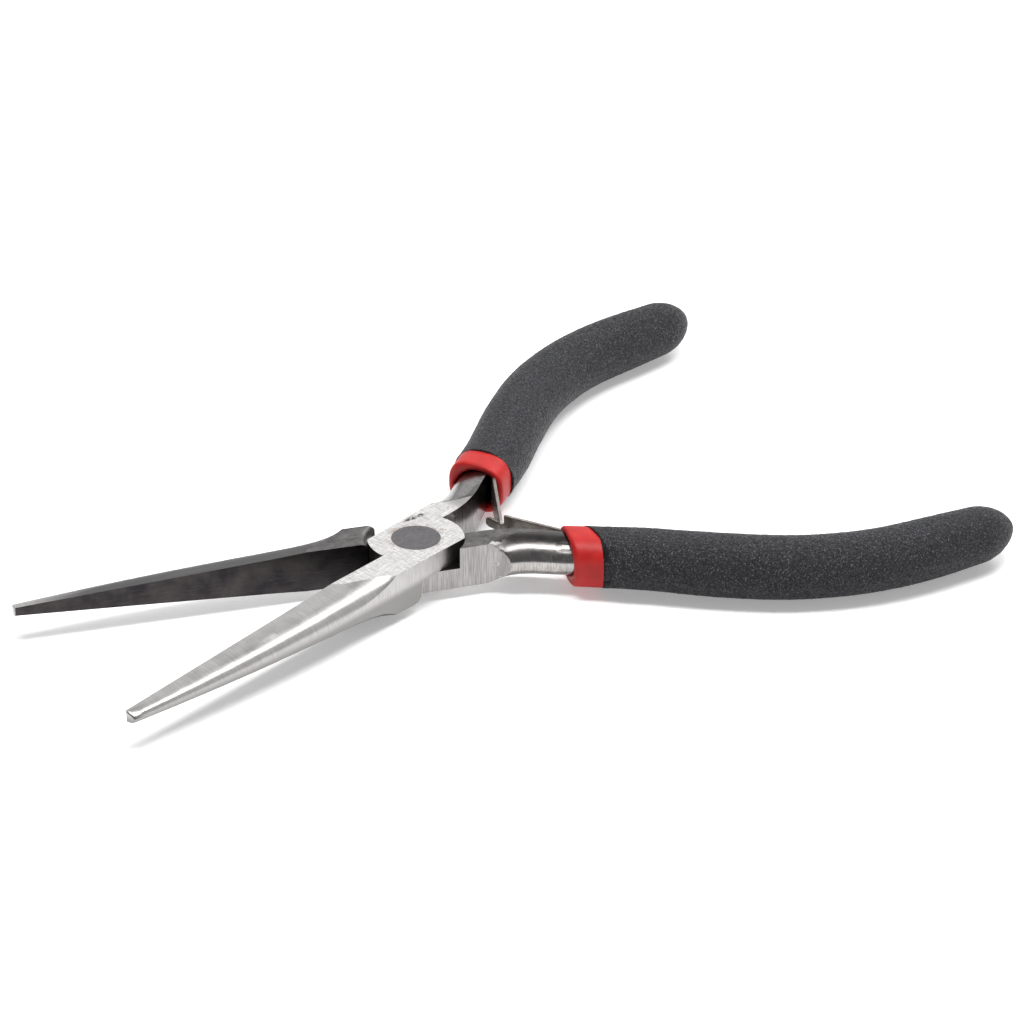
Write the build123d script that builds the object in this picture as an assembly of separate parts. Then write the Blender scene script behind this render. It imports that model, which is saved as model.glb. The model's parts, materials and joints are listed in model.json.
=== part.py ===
from build123d import *
import math
import os

# Spring-opened jewellery pliers: two lapped steel halves on one flush rivet, long smooth
# jaws that are flat inside and half round outside, bowed handles in a red vinyl sleeve
# under a black foam grip, and two flat leaf springs that hook into each other.
# Each half is drawn closed, about the pivot, with its jaw along +X and its flat inner
# face on y = 0. The upper half has its jaw at +Y and its handle at -Y. The lower half is
# the same forging turned over about X.

os.makedirs("parts", exist_ok=True)

# ---- driving dimensions, millimetres and degrees ---------------------------------------
OPEN_HALF_ANGLE = 16.4      # each half stands this far from the closed line at rest
JAW_REACH = 62.7            # pivot to jaw tip
JAW_TURN = 1.8              # both jaws stand this far off the line that halves the handles
JOINT_THICKNESS = 6.85      # both laps together
LAP_GAP = 0.05              # running gap between the two lap faces
FACE_GAP = 0.05             # jaw face to centre plane when closed
BOSS_RADIUS = 7.5           # round end of each lap
SHOULDER_RADIUS = 7.62      # hollow shoulder that clears the other half's boss
JAW_SIDE = 5.7              # pivot to the ground side of the jaw block
HANDLE_SIDE = 5.35          # pivot to the ground side of the handle block
HANDLE_INNER = 0.95         # pivot to the inner side of the handle block
JAW_BLOCK_END = 9.8         # the ground jaw block is full size up to here
HANDLE_BAR_END = 8.8
HANDLE_BLOCK_END = 10.3     # where the ground handle block runs out
SIDE_FLARE_END = 13.6       # where the handle has swung out of the block line
SIDE_FLARE_OUT = 7.8
SIDE_FLARE_TANGENTS = [(-1, -0.1), (-0.8, -0.6)]
# plan of the handle blank: its front and back ends, its outer and its inner side
OUTLINE = (8.2, 95.0, 40.0, 0.2)
SHOULDER_FILLET = 1.1       # lower corner of the jaw block beside the shoulder

RIVET_SHANK_RADIUS = 2.9
RIVET_HEAD_RADIUS = 3.8
RIVET_HEAD_DEPTH = 1.0
RIVET_CLEARANCE = 0.03      # running clearance in the upper half

# half-round jaw, ground by hand, so the halves differ a little: depth behind the flat
# face at the tip, its growth per mm, its bow, half height at the tip, its growth, tip round
JAW_SHAPE = {
    "lower": (2.0, 0.151, 0.00155, 0.68, 0.058, 0.25),
    "upper": (1.95, 0.151, 0.0014, 0.97, 0.0545, 0.4),
}
JAW_START = 9.0
JAW_STEPS = 13
SCOOP_AT = 10.9             # the round runs out here in a scoop up to the block's corner
SCOOP_DEPTH = 1.57
SCOOP_HEIGHT = 1.1
SCOOP_FADE = 2.8

# bare part of the half-round tang: back from pivot, out from centre (inner flat),
# heading, depth, half height
TANG_STATIONS = [
    (8.2, 0.95, 0.0, 8.8, 5.6),
    (11.2, 1.0, 2.0, 6.75, 3.95),
    (14.2, 1.45, 10.0, 6.0, 3.5),
    (17.2, 2.4, 20.0, 5.5, 3.38),
    (20.2, 3.75, 25.0, 5.3, 3.32),
    (23.2, 5.15, 24.5, 5.15, 3.2),
    (26.2, 6.5, 23.0, 5.0, 3.05),
]
# tang inside the sleeve: distance in from the sleeve's mouth, depth, half height, shift out
TANG_CORE = [
    (8.0, 4.8, 2.85, 0.35),
    (15.0, 4.6, 2.7, 0.2),
    (22.0, 4.4, 2.65, 0.0),
    (29.0, 4.4, 2.65, 0.0),
    (36.0, 4.3, 2.6, 0.0),
    (43.0, 4.2, 2.6, 0.0),
    (50.0, 4.0, 2.5, 0.0),
    (57.0, 3.6, 2.4, 0.0),
]

# handle centre line: back from pivot, out from centre; mouth of the sleeve first
HANDLE_PATH = [
    (24.0, 7.55),
    (34.0, 11.65),
    (44.0, 16.5),
    (54.0, 20.3),
    (64.0, 22.0),
    (74.0, 21.5),
    (83.0, 19.8),
    (91.4, 18.4),
]
# how each sleeve and grip sits at its front: pushed forward, skewed by, set inward
SLEEVE_FIT = {"lower": (2.0, 18.0, 0.2), "upper": (1.3, 9.0, -0.1)}
GRIP_FIT = {"lower": (2.0, 24.0, 0.2), "upper": (1.3, 9.0, -0.1)}
SLEEVE_BAND = 4.3           # red sleeve left bare in front of the foam
# sleeve outline: fraction of its length, half width, half height
SLEEVE_SECTIONS = [
    (0.0, 4.8, 4.2),
    (0.125, 4.75, 4.25),
    (0.25, 4.3, 4.15),
    (0.375, 3.95, 3.9),
    (0.5, 3.8, 3.75),
    (0.625, 3.7, 3.65),
    (0.75, 3.6, 3.6),
    (0.875, 3.45, 3.5),
    (1.0, 3.2, 3.25),
]
SLEEVE_CORNER = 0.85        # corner radius over half height
SLEEVE_WALL = 1.15
MOUTH_DEPTH = 12.0          # the sleeve stands off the tang this far in, beside the leaf
SLEEVE_END_SHORT = 5.0      # sleeve ends this far inside the foam's closed end
MOUTH_CORNER = 1.6
MOUTH_NARROWS = 0.72        # the room is this much narrower at its inner end
MOUTH_OVERCUT = 0.6         # the cutter starts this far in front of the mouth
LIP_ROUND = 0.45

# foam grip: fraction of its length, half width, half height
GRIP_SECTIONS = [
    (0.0, 5.35, 4.65),
    (0.16, 5.45, 4.85),
    (0.32, 5.4, 5.0),
    (0.48, 5.3, 5.0),
    (0.64, 5.1, 5.0),
    (0.78, 4.9, 4.95),
    (0.89, 4.5, 4.7),
]
GRIP_CAP_STEPS = [0.4, 0.68, 0.88, 0.985]
GRIP_CAP_POWER = 0.62

LEAF_THICKNESS = 0.5
LEAF_HALF_WIDTH = 2.75
SEAT_START = (23.6, 5.5)    # back, out: front end of the flat seat under the leaf's tail
SEAT_HEADING = 22.5
SEAT_LENGTH = 11.0
SEAT_HEIGHT = 8.0           # past both edges of the tang
SEAT_CUT = 4.0              # past the tang's inner flat
LEAF_ROOT = 2.0             # along the seat: the leaf bends off the tang here
LEAF_TAIL_END = 10.0        # along the seat: the leaf's hidden end
LEAF_CROSSING = 15.6        # pivot back to the crossing of the two leaves, on the centre
LEAF_STAND_OFF = 0.02
WINDOW_HALF_LENGTH = 1.35
WINDOW_HALF_HEIGHT = 1.5
LEAF_RELIEF = 0.2           # clearance between a leaf and the sleeve's lip
LEAF_END_PAST_WINDOW = 1.2
TONGUE_HALF_WIDTH = 0.8
TONGUE_RAISE = 0.45         # above mid height, with the tool lying as drawn
TONGUE_LENGTH = 3.0
TONGUE_BEND = 19.0
TONGUE_SHOULDER_BACK = 0.7

SPRING_RIVET_RADIUS = 0.9
SPRING_RIVET_HEAD_RADIUS = 1.5
SPRING_RIVET_HEAD_DEPTH = 0.5
SPRING_RIVET_DEPTH = 2.6    # how far its shank goes into the tang
SPRING_RIVET_AT = 6.2       # along the seat

HALF_THICKNESS = JOINT_THICKNESS / 2
HALF_LAP_GAP = LAP_GAP / 2
WIDE = 20.0                 # past every edge of the joint


# ---- placing helpers ---------------------------------------------------------------------
def heading(angle_deg):
    """Unit vector back along a handle that leaves the centre line by angle_deg."""
    a = math.radians(angle_deg)
    return Vector(-math.cos(a), -math.sin(a), 0)


def outward(angle_deg):
    """Unit vector out of that handle, away from the other one."""
    a = math.radians(angle_deg)
    return Vector(math.sin(a), -math.cos(a), 0)


def slab(x0, x1, y0, y1, z0, z1):
    """Axis-aligned block between two corners."""
    size = Box(x1 - x0, y1 - y0, z1 - z0)
    return Pos((x0 + x1) / 2, (y0 + y1) / 2, (z0 + z1) / 2) * size


def disc(radius, z0, z1):
    return Pos(0, 0, (z0 + z1) / 2) * Cylinder(radius, z1 - z0)


def half_round(origin, out_dir, along_dir, depth, half_height):
    """D section: flat on the inner side, half ellipse of the given depth outside."""
    flat = Line((0, -half_height), (0, half_height))
    bulge = EllipticalCenterArc((0, 0), depth, half_height, start_angle=-90, arc_size=180)
    return Plane(origin=origin, x_dir=out_dir, z_dir=along_dir) * make_face([flat, bulge])


def handle_line():
    """Centre line of a handle as a smooth edge on z = 0."""
    points = [Vector(-back, -out, 0) for back, out in HANDLE_PATH]
    return Edge.make_spline(points)


def along_handle(distance):
    """Point and direction on the handle centre line, distance in from the sleeve mouth."""
    line = handle_line()
    t = distance / line.length
    return line.position_at(t), line.tangent_at(t)


# ---- steel halves ------------------------------------------------------------------------
def jaw_turn(side):
    """Angle from the closed line to this half's jaw, before the lower half is turned over."""
    return JAW_TURN if side == "lower" else -JAW_TURN


def jaw_size(side, reach):
    """Depth and half height of the half-round jaw at a distance from the pivot."""
    tip_depth, depth_growth, depth_bow, tip_height, height_growth, _ = JAW_SHAPE[side]
    from_tip = JAW_REACH - reach
    scoop = math.exp((SCOOP_AT - reach) / SCOOP_FADE)
    depth = tip_depth + depth_growth * from_tip - depth_bow * from_tip**2
    half_height = tip_height + height_growth * from_tip
    return depth + SCOOP_DEPTH * scoop, half_height + SCOOP_HEIGHT * scoop


def jaw(side):
    """Half-round tapered jaw inside the lines of the ground block."""
    tip_round = JAW_SHAPE[side][-1]
    sections = []
    for i in range(JAW_STEPS):
        reach = JAW_START + (JAW_REACH - JAW_START) * i / (JAW_STEPS - 1)
        depth, half_height = jaw_size(side, reach)
        origin = Vector(reach, FACE_GAP, 0)
        sections.append(half_round(origin, Vector(0, 1, 0), Vector(1, 0, 0), depth, half_height))
    cone = loft(sections)
    tip_edges = cone.faces().sort_by(Axis.X)[-1].edges()
    cone = fillet(tip_edges, tip_round)
    block = slab(JAW_START, JAW_REACH, FACE_GAP, JAW_SIDE, -HALF_THICKNESS, HALF_THICKNESS)
    return Rot(0, 0, jaw_turn(side)) * (cone & block)


def handle_outline():
    """Plan of the handle: ground side first, then a flare out to the bowed part."""
    front, back, wide, inner = OUTLINE
    side = [
        (-front, -inner),
        (-front, -HANDLE_SIDE),
        (-HANDLE_BLOCK_END, -HANDLE_SIDE),
    ]
    flare = Spline(
        (-HANDLE_BLOCK_END, -HANDLE_SIDE),
        (-SIDE_FLARE_END, -SIDE_FLARE_OUT),
        tangents=SIDE_FLARE_TANGENTS,
    )
    rest = [
        (-SIDE_FLARE_END, -SIDE_FLARE_OUT),
        (-wide, -wide),
        (-back, -wide),
        (-back, -inner),
        (-front, -inner),
    ]
    return make_face([*Polyline(*side).edges(), *flare.edges(), *Polyline(*rest).edges()])


def tang():
    """Half-round handle core, flat towards the other handle."""
    bare = []
    for back, out, angle, depth, half_height in TANG_STATIONS:
        origin = Vector(-back, -out, 0)
        bare.append(half_round(origin, outward(angle), heading(angle), depth, half_height))
    plan = extrude(handle_outline(), HALF_THICKNESS, both=True)
    front = loft(bare) & plan
    core = [bare[-1]]
    for distance, depth, half_height, shift in TANG_CORE:
        point, direction = along_handle(distance)
        out_dir = Vector(-direction.Y, direction.X, 0)
        origin = point + out_dir * (shift - depth / 2)
        core.append(half_round(origin, out_dir, direction, depth, half_height))
    return front + loft(core, ruled=True)


def block_bars(side, z0, z1):
    """Jaw block and handle block between two heights."""
    jaw_bar = slab(0, JAW_BLOCK_END, FACE_GAP, JAW_SIDE, z0, z1)
    handle_bar = slab(-HANDLE_BAR_END, 0, -HANDLE_SIDE, -HANDLE_INNER, z0, z1)
    return Rot(0, 0, jaw_turn(side)) * jaw_bar + handle_bar


def lap(side):
    """Half-thickness lap on top, full-thickness blocks outside the hollow shoulders."""
    boss = disc(BOSS_RADIUS, HALF_LAP_GAP, HALF_THICKNESS)
    handle_cut = slab(-WIDE, WIDE, -HANDLE_SIDE, WIDE, -HALF_THICKNESS, HALF_THICKNESS)
    jaw_cut = slab(-WIDE, WIDE, -WIDE, JAW_SIDE, -HALF_THICKNESS, HALF_THICKNESS)
    boss = boss & handle_cut & (Rot(0, 0, jaw_turn(side)) * jaw_cut)
    top = boss + block_bars(side, HALF_LAP_GAP, HALF_THICKNESS)
    bottom = block_bars(side, -HALF_THICKNESS, HALF_LAP_GAP)
    return top, bottom


def rivet_hole(clearance):
    """Hole through both laps with a cone for each flush head."""
    shank = disc(RIVET_SHANK_RADIUS + clearance, -HALF_THICKNESS, HALF_THICKNESS)
    middle = HALF_THICKNESS - RIVET_HEAD_DEPTH / 2
    head = Cone(RIVET_SHANK_RADIUS + clearance, RIVET_HEAD_RADIUS + clearance, RIVET_HEAD_DEPTH)
    return shank + Pos(0, 0, middle) * head + Pos(0, 0, -middle) * (Rot(180, 0, 0) * head)


def seat_point(distance):
    """Point on the tang's inner flat, this far back along the leaf's seat."""
    start = Vector(-SEAT_START[0], -SEAT_START[1], 0)
    return start + heading(SEAT_HEADING) * distance


def spring_seat():
    """Shallow flat milled on the tang's inner side, where the leaf's tail lies."""
    out_dir = outward(SEAT_HEADING)
    plane = Plane(origin=seat_point(SEAT_LENGTH / 2), x_dir=heading(SEAT_HEADING), z_dir=out_dir)
    return plane * Pos(0, 0, -SEAT_CUT / 2) * Box(SEAT_LENGTH, SEAT_HEIGHT, SEAT_CUT)


def half_blank(side, clearance):
    """One forged half in the upper-half position, closed."""
    top, bottom = lap(side)
    shoulder = disc(SHOULDER_RADIUS, -HALF_THICKNESS - 1, HALF_LAP_GAP)
    body = (jaw(side) + tang() + bottom) - shoulder
    body = body + top
    body = body - spring_seat()
    body = body - rivet_hole(clearance)
    body = body - spring_rivet_pin(0.0)
    bottom_arcs = body.edges().filter_by(GeomType.CIRCLE).group_by(Axis.Z)[0]
    return fillet(bottom_arcs.sort_by(Axis.X)[-1], SHOULDER_FILLET)


def pivot_rivet():
    return rivet_hole(0.0)


# ---- springs -----------------------------------------------------------------------------
def spring_rivet_pin(growth):
    """Shank of the small rivet that holds a leaf's tail, set into the tang."""
    out_dir = outward(SEAT_HEADING)
    length = SPRING_RIVET_DEPTH + LEAF_STAND_OFF + LEAF_THICKNESS + LEAF_STAND_OFF
    start = seat_point(SPRING_RIVET_AT) + out_dir * SPRING_RIVET_DEPTH
    plane = Plane(origin=start, z_dir=out_dir * -1)
    return plane * Pos(0, 0, length / 2) * Cylinder(SPRING_RIVET_RADIUS + growth, length)


def spring_rivet():
    """Small flat-head rivet through the leaf's tail into the tang."""
    out_dir = outward(SEAT_HEADING)
    lift = LEAF_STAND_OFF + LEAF_THICKNESS + LEAF_STAND_OFF
    plane = Plane(origin=seat_point(SPRING_RIVET_AT) - out_dir * lift, z_dir=out_dir * -1)
    head = Cylinder(SPRING_RIVET_HEAD_RADIUS, SPRING_RIVET_HEAD_DEPTH)
    return spring_rivet_pin(0.0) + plane * Pos(0, 0, SPRING_RIVET_HEAD_DEPTH / 2) * head


def crossing_point():
    """Where the leaves cross, in the closed frame of a half that stands open."""
    a = math.radians(OPEN_HALF_ANGLE)
    return Vector(-LEAF_CROSSING * math.cos(a), LEAF_CROSSING * math.sin(a), 0)


def leaf_root():
    """Where the leaf's centre line leaves the tang."""
    lift = LEAF_STAND_OFF + LEAF_THICKNESS / 2
    return seat_point(LEAF_ROOT) - outward(SEAT_HEADING) * lift


def leaf_points(reach_past_crossing, end_bend):
    """Centre line of a leaf: tail on the tang, straight blade to the crossing, bent end."""
    root = leaf_root()
    tail = root + heading(SEAT_HEADING) * (LEAF_TAIL_END - LEAF_ROOT)
    cross = crossing_point()
    blade = (cross - root).normalized()
    points = [tail, root, cross]
    if reach_past_crossing:
        points.append(cross + blade.rotate(Axis.Z, end_bend) * reach_past_crossing)
    return points


def ribbon(points, half_width, growth=0.0):
    """Flat strip standing on edge along a plan line, grown by the given clearance."""
    line = Polyline(*[(p.X, p.Y) for p in points])
    edge = offset(line, LEAF_THICKNESS / 2 + growth, kind=Kind.INTERSECTION, side=Side.BOTH)
    plan = make_face(edge.edges())
    return extrude(plan, half_width + growth, both=True)


def leaf_with_window():
    """Upper handle's leaf: its end has a window that the other leaf's tongue enters."""
    reach = WINDOW_HALF_LENGTH + LEAF_END_PAST_WINDOW
    points = leaf_points(reach, 0.0)
    strip = ribbon(points, LEAF_HALF_WIDTH)
    cross = points[2]
    blade = (points[2] - points[1]).normalized()
    plane = Plane(origin=cross, x_dir=blade, z_dir=Vector(0, 0, 1))
    through = 4 * LEAF_THICKNESS
    window = plane * Box(2 * WINDOW_HALF_LENGTH, through, 2 * WINDOW_HALF_HEIGHT)
    return strip - window - leaf_hole()


def leaf_with_tongue():
    """Lower handle's leaf, in the upper-half position: full width, then a tongue."""
    points = leaf_points(TONGUE_LENGTH, TONGUE_BEND)
    strip = ribbon(points, LEAF_HALF_WIDTH)
    blade = (points[2] - points[1]).normalized()
    shoulder_at = points[2] - blade * TONGUE_SHOULDER_BACK
    plane = Plane(origin=shoulder_at, x_dir=blade, z_dir=Vector(0, 0, 1))
    past = 2 * TONGUE_LENGTH
    for sign in (1, -1):
        middle = sign * (TONGUE_HALF_WIDTH + LEAF_HALF_WIDTH) - TONGUE_RAISE
        strip = strip - plane * Pos(past / 2, 0, middle) * Box(past, past, 2 * LEAF_HALF_WIDTH)
    return strip - leaf_hole()


def leaf_hole():
    return spring_rivet_pin(0.05)


# ---- sleeves and grips -------------------------------------------------------------------
def station(fit, distance, fade):
    """Plane across the handle, with the given share of the front's skew and offset."""
    forward, skew, inward = fit
    distance = distance - forward * fade
    point, direction = along_handle(max(distance, 0.0))
    point = point + direction * min(distance, 0.0)
    point = point - Vector(-direction.Y, direction.X, 0) * inward * fade
    turned = direction.rotate(Axis.Z, -skew * fade)
    return Plane(origin=point, x_dir=Vector(-turned.Y, turned.X, 0), z_dir=turned)


def skewed_width(fit, half_width, fade):
    """Half width measured along the skewed section."""
    _, skew, _ = fit
    return half_width / math.cos(math.radians(skew * fade))


def soft_box(fit, distance, fade, half_width, half_height, corner):
    width = skewed_width(fit, half_width, fade)
    return station(fit, distance, fade) * RectangleRounded(2 * width, 2 * half_height, corner)


def oval(fit, distance, fade, half_width, half_height):
    width = skewed_width(fit, half_width, fade)
    return station(fit, distance, fade) * Ellipse(width, half_height)


def sleeve_body(side):
    """Solid outline of the sleeve, from its mouth to its closed end."""
    last = handle_line().length - SLEEVE_END_SHORT
    sections = []
    for fraction, half_width, half_height in SLEEVE_SECTIONS:
        fade = (1.0 - fraction) ** 4
        corner = SLEEVE_CORNER * half_height
        section = soft_box(SLEEVE_FIT[side], fraction * last, fade, half_width, half_height, corner)
        sections.append(section)
    body = loft(sections)
    front = body.faces().sort_by(Axis.X)[-1]
    return fillet(front.edges(), LIP_ROUND)


def sleeve_mouth(side):
    """Room inside the sleeve's mouth, beside the tang and the leaf's tail."""
    sections = []
    for i in range(4):
        fraction = i / 3
        distance = MOUTH_DEPTH * fraction - MOUTH_OVERCUT * (1.0 - fraction)
        half_width = SLEEVE_SECTIONS[0][1] - SLEEVE_WALL - MOUTH_NARROWS * fraction
        half_height = SLEEVE_SECTIONS[0][2] - SLEEVE_WALL
        fade = (1.0 - fraction) ** 2
        section = soft_box(SLEEVE_FIT[side], distance, fade, half_width, half_height, MOUTH_CORNER)
        sections.append(section)
    return loft(sections)


def grip_body(side):
    """Solid outline of the foam grip with its rounded closed end."""
    length = handle_line().length - SLEEVE_BAND
    sections = []
    for fraction, half_width, half_height in GRIP_SECTIONS:
        fade = (1.0 - fraction) ** 4
        distance = SLEEVE_BAND + fraction * length
        sections.append(oval(GRIP_FIT[side], distance, fade, half_width, half_height))
    last, half_width, half_height = GRIP_SECTIONS[-1]
    for step in GRIP_CAP_STEPS:
        distance = SLEEVE_BAND + (last + (1.0 - last) * step) * length
        scale = (1.0 - step**2) ** GRIP_CAP_POWER
        sections.append(oval(GRIP_FIT[side], distance, 0.0, half_width * scale, half_height * scale))
    return loft(sections)


def sleeve(side):
    """Sleeve with its mouth, the tang's hole and a relief where the leaf passes the lip."""
    leaf_relief = ribbon(leaf_points(0.0, 0.0), LEAF_HALF_WIDTH, LEAF_RELIEF)
    return sleeve_body(side) - sleeve_mouth(side) - tang() - leaf_relief


def grip(side):
    return grip_body(side) - sleeve_body(side)


# ---- assembly ----------------------------------------------------------------------------
def stand_upper(shape):
    """Turn a piece of the upper half from closed to its open rest place."""
    return Rot(0, 0, OPEN_HALF_ANGLE) * shape


def stand_lower(shape):
    """Turn a piece over into the lower half, then to its open rest place."""
    return Rot(0, 0, -OPEN_HALF_ANGLE) * (Rot(180, 0, 0) * shape)


def build():
    pieces = {
        "lower_half": stand_lower(half_blank("lower", 0.0)),
        "upper_half": stand_upper(half_blank("upper", RIVET_CLEARANCE)),
        "pivot_rivet": pivot_rivet(),
        "lower_leaf_spring": stand_lower(leaf_with_tongue()),
        "upper_leaf_spring": stand_upper(leaf_with_window()),
        "lower_spring_rivet": stand_lower(spring_rivet()),
        "upper_spring_rivet": stand_upper(spring_rivet()),
        "lower_sleeve": stand_lower(sleeve("lower")),
        "upper_sleeve": stand_upper(sleeve("upper")),
        "lower_foam_grip": stand_lower(grip("lower")),
        "upper_foam_grip": stand_upper(grip("upper")),
    }
    boxes = [piece.bounding_box() for piece in pieces.values()]
    middle_x = (min(box.min.X for box in boxes) + max(box.max.X for box in boxes)) / 2
    middle_y = (min(box.min.Y for box in boxes) + max(box.max.Y for box in boxes)) / 2
    shift = Pos(-middle_x, -middle_y, -min(box.min.Z for box in boxes))
    return {name: shift * piece for name, piece in pieces.items()}, shift


parts, moved = build()
for name, piece in parts.items():
    export_step(piece, f"parts/{name}.step")
    solids = piece.solids()
    print(name, "solids", len(solids), "volume %.1f" % piece.volume, "valid", piece.is_valid)
print("pivot at", moved.position)
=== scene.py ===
import json
import math

import bmesh
import bpy
import numpy as np
from mathutils import Matrix, Vector, noise


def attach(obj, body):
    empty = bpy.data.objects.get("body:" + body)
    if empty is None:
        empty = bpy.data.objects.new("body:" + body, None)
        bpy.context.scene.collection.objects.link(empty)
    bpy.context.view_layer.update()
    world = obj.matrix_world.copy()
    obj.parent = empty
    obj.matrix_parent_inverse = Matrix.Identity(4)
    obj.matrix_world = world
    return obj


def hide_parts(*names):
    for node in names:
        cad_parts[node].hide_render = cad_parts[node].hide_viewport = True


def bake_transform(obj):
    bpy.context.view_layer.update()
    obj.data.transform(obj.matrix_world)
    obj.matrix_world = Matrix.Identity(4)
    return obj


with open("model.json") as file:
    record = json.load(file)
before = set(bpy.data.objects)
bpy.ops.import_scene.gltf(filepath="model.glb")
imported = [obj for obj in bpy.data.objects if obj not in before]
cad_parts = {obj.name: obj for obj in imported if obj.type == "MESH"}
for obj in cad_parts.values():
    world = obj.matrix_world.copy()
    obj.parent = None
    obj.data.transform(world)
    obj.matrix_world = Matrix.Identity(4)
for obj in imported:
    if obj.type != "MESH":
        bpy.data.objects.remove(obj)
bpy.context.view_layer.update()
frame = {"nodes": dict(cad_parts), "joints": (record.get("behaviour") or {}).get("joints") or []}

# ---- numbers shared with the design ------------------------------------------------------
# Every piece is drawn in millimetres with its half closed, about the pivot, jaw along +X,
# and then stood open. The lower half is the same drawing turned over about X.
JOINTS = {joint["name"]: joint for joint in frame["joints"]}
PIVOT = Vector(JOINTS["jaw_pivot"]["pos_m"])
OPEN = math.radians(JOINTS["jaw_pivot"]["range_deg"][1] / 2)
SIDES = ("lower", "upper")

FACE_GAP = 0.05
HALF_THICKNESS = 3.425
JAW_TURN = {"lower": math.radians(1.8), "upper": math.radians(-1.8)}
# depth at the tip, growth per mm, bow, half height at the tip, growth per mm
JAW_SHAPE = {
    "lower": (2.0, 0.151, 0.00155, 0.68, 0.058),
    "upper": (1.95, 0.151, 0.0014, 0.97, 0.0545),
}
JAW_REACH = 62.7
SCOOP_AT, SCOOP_DEPTH, SCOOP_HEIGHT, SCOOP_FADE = 10.9, 1.57, 1.1, 2.8

HANDLE_PATH = [(24.0, 7.55), (34.0, 11.65), (44.0, 16.5), (54.0, 20.3),
               (64.0, 22.0), (74.0, 21.5), (83.0, 19.8), (91.4, 18.4)]
# how far the front reaches forward, its skew in degrees, and how far it sits inward
SLEEVE_FIT = {"lower": (2.0, 18.0, 0.2), "upper": (1.3, 9.0, -0.1)}
# the lower foam's cut edge is skewed 5 degrees more than in the design
GRIP_FIT = {"lower": (2.0, 29.0, 0.2), "upper": (1.3, 9.0, -0.1)}
SLEEVE_BAND = 4.3
SLEEVE_SECTIONS = [(0.0, 4.8, 4.2), (0.125, 4.75, 4.25), (0.25, 4.3, 4.15),
                   (0.375, 3.95, 3.9), (0.5, 3.8, 3.75), (0.625, 3.7, 3.65),
                   (0.75, 3.6, 3.6), (0.875, 3.45, 3.5), (1.0, 3.2, 3.25)]
SLEEVE_WALL = 1.15
SLEEVE_END_SHORT = 5.0
MOUTH_DEPTH = 12.0
MOUTH_NARROWS = 0.72
GRIP_SECTIONS = [(0.0, 5.35, 4.65), (0.16, 5.45, 4.85), (0.32, 5.4, 5.0),
                 (0.48, 5.3, 5.0), (0.64, 5.1, 5.0), (0.78, 4.9, 4.95), (0.89, 4.5, 4.7)]
GRIP_CAP_POWER = 0.62

LEAF_THICKNESS = 0.5
LEAF_HALF_WIDTH = 2.75
LEAF_SEAT = Vector((-23.6, -5.5, 0.0))
LEAF_SEAT_HEADING = math.radians(22.5)
LEAF_ROOT, LEAF_TAIL = 2.0, 10.0
LEAF_STAND_OFF = 0.02
LEAF_CROSSING = 15.6
WINDOW_HALF_LENGTH, WINDOW_HALF_HEIGHT = 1.35, 1.5
LEAF_END_PAST_WINDOW = 1.2
TONGUE_HALF_WIDTH, TONGUE_LENGTH, TONGUE_RAISE = 0.8, 3.0, 0.45
TONGUE_BEND = math.radians(19.0)
TONGUE_SHOULDER_BACK = 0.7


def to_row(side):
    """Closed drawing of one half, in millimetres, to the row frame at rest, in metres."""
    turn = OPEN if side == "upper" else -OPEN
    flip = Matrix.Identity(4) if side == "upper" else Matrix.Rotation(math.pi, 4, "X")
    stand = Matrix.Translation(PIVOT) @ Matrix.Rotation(turn, 4, "Z") @ flip
    return stand @ Matrix.Scale(0.001, 4)


# ---- curves through stations -------------------------------------------------------------
def natural_spline(knots, values, at):
    """Natural cubic through the values at the knots, evaluated at the given places."""
    knots, values, at = np.array(knots, float), np.array(values, float), np.array(at, float)
    count = len(knots)
    step = np.diff(knots)
    system, right = np.eye(count), np.zeros(count)
    for i in range(1, count - 1):
        system[i, i - 1:i + 2] = (step[i - 1], 2 * (step[i - 1] + step[i]), step[i])
        rise = (values[i + 1] - values[i]) / step[i] - (values[i] - values[i - 1]) / step[i - 1]
        right[i] = 6 * rise
    bend = np.linalg.solve(system, right)
    k = np.clip(np.searchsorted(knots, at) - 1, 0, count - 2)
    h, a, b = step[k], knots[k + 1] - at, at - knots[k]
    curve = (bend[k] * a**3 + bend[k + 1] * b**3) / (6 * h)
    return curve + (values[k] / h - bend[k] * h / 6) * a + (values[k + 1] / h - bend[k + 1] * h / 6) * b


path_points = np.array([(-back, -out) for back, out in HANDLE_PATH])
chords = np.concatenate([[0], np.cumsum(np.linalg.norm(np.diff(path_points, axis=0), axis=1))])
PATH_SAMPLES = 1200
sampled = np.linspace(0, chords[-1], PATH_SAMPLES)
PATH = np.stack([natural_spline(chords, path_points[:, i], sampled) for i in (0, 1)], axis=1)
PATH_AT = np.concatenate([[0], np.cumsum(np.linalg.norm(np.diff(PATH, axis=0), axis=1))])
PATH_DIRECTION = np.gradient(PATH, axis=0)
PATH_DIRECTION /= np.linalg.norm(PATH_DIRECTION, axis=1)[:, None]
HANDLE_LENGTH = PATH_AT[-1]


def along_handle(distance):
    """Point and direction on the handle's centre line, distance in from the sleeve mouth."""
    inside = max(distance, 0.0)
    point = Vector([np.interp(inside, PATH_AT, PATH[:, i]) for i in (0, 1)] + [0.0])
    way = Vector([np.interp(inside, PATH_AT, PATH_DIRECTION[:, i]) for i in (0, 1)] + [0.0])
    way.normalize()
    return point + way * min(distance, 0.0), way


def station(fit, distance, fade):
    """Origin and outward axis of a section, with a share of the front's skew and offset."""
    forward, skew, inward = fit
    point, way = along_handle(distance - forward * fade)
    point = point - Vector((-way.y, way.x, 0)) * inward * fade
    turned = Matrix.Rotation(math.radians(-skew * fade), 3, "Z") @ way
    return point, Vector((-turned.y, turned.x, 0))


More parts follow.
